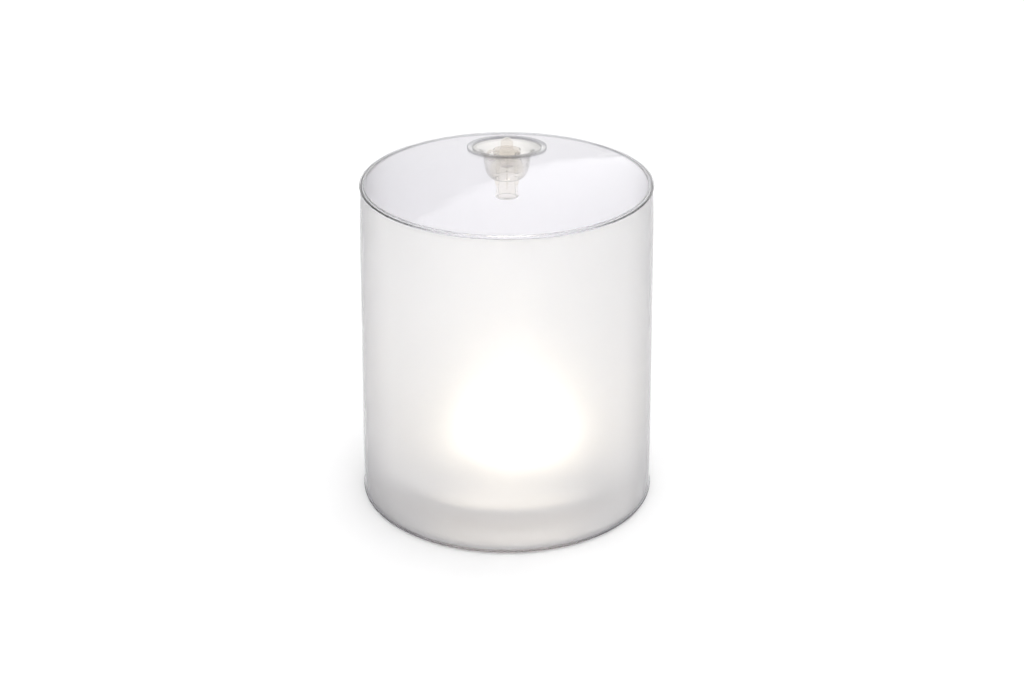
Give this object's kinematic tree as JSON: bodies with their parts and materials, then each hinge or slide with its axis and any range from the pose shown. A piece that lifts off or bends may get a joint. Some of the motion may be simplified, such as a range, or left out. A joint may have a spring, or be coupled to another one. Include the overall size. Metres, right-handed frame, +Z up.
{
  "type": "inflatable solar lantern",
  "caption": "Inflatable camping lantern: a frosted film drum with a clear top and push-in air valve, standing on a sealed light unit with a solar panel underneath.",
  "frame": {"origin": "centre of the underside, on the floor under the drum's axis", "axes": "+Z up along the drum's axis; the air valve sits towards +Y, so -Y is the front; +X is to the right seen from the front"},
  "size_m": [0.127, 0.127, 0.1487],
  "materials": {
    "clear_film": "clear glossy film",
    "frosted_film": "frosted translucent film",
    "weld": "clear film welded into a grey ring",
    "skirt_film": "clear film",
    "valve_soft": "clear soft plastic",
    "valve_stem": "clear soft plastic",
    "plug": "slightly yellowed clear soft plastic",
    "housing": "fine texture",
    "cover": "satin white",
    "white_plastic": "bright white",
    "lens": "opal, lit",
    "dark_rubber": "matte",
    "pale_rubber": "matte",
    "screw_steel": "plated",
    "board_white": "white solder mask",
    "board_green": "green solder mask",
    "lamp": "warm white lamps, lit",
    "panel_glass": "clear laminate",
    "cell": "dark blue-black silicon",
    "ribbon": "tinned",
    "panel_back": "woven laminate",
    "battery": "foil pouch",
    "pad": "foam tape",
    "chip": "moulded",
    "switch": "moulded",
    "button": "soft satin",
    "indicator": "tinted",
    "light_pipe": "clear",
    "lead_red": "wire insulation",
    "lead_black": "wire insulation",
    "lead_white": "wire insulation"
  },
  "bodies": {
    "light_unit": {"bottom_film": "clear_film", "bottom_weld_ring": "weld", "retaining_skirt": "skirt_film", "wall_film": "frosted_film", "base_tray": "housing", "base_cover": "cover", "housing_seal": "dark_rubber", "housing_screws": "screw_steel", "lamp_lens": "lens", "lens_seal": "pale_rubber", "reflector": "white_plastic", "lamp_board": "board_white", "lamps": "lamp", "lamp_board_screws": "screw_steel", "solar_glass": "panel_glass", "cell_ribbons": "ribbon", "solar_cells": "cell", "solar_backing": "panel_back", "battery": "battery", "battery_pad": "pad", "control_board": "board_green", "board_parts": "chip", "board_sockets": "white_plastic", "board_screws": "screw_steel", "power_switch": "switch", "level_switch": "switch", "level_lights": "indicator", "light_pipes": "light_pipe", "battery_leads": "lead_red", "panel_leads": "lead_black", "lamp_leads": "lead_white"},
    "top": {"top_weld_ring": "weld", "top_film": "clear_film", "valve_flange": "valve_soft"},
    "valve": {"valve_bell": "valve_soft", "valve_stem": "valve_stem", "plug_tether": "plug"},
    "flap": {"check_flap": "valve_soft"},
    "plug": {"valve_plug": "plug"},
    "power": {"power_button": "button", "power_plunger": "switch"},
    "level": {"level_button": "button", "level_plunger": "switch"}
  },
  "joints": [
    {"name": "collapse", "type": "slide", "parent": "light_unit", "child": "top", "axis": [0, 0, -1], "range_m": [0, 0.092], "deforming": ["wall_film"]},
    {"name": "valve_pop", "type": "slide", "parent": "top", "child": "valve", "axis": [0, 0.0805, 0.9968], "range_m": [0, 0.015], "deforming": ["valve_bell"]},
    {"name": "plug_pull", "type": "slide", "parent": "valve", "child": "plug", "axis": [0, 0.0805, 0.9968], "range_m": [0, 0.008], "deforming": ["plug_tether"]},
    {"name": "check_flap", "type": "hinge", "parent": "valve", "child": "flap", "pos_m": [0, 0.03562, 0.12238], "axis": [1, 0, 0], "range_deg": [0, 40], "stiffness_Nm_per_rad": 0.0007, "springref_deg": -2.86},
    {"name": "power_button", "type": "slide", "parent": "light_unit", "child": "power", "axis": [0, 0, 1], "range_m": [0, 0.0007], "stiffness_N_per_m": 2500, "springref_m": -0.0002},
    {"name": "level_button", "type": "slide", "parent": "light_unit", "child": "level", "axis": [0, 0, 1], "range_m": [0, 0.0007], "stiffness_N_per_m": 2500, "springref_m": -0.0002}
  ]
}
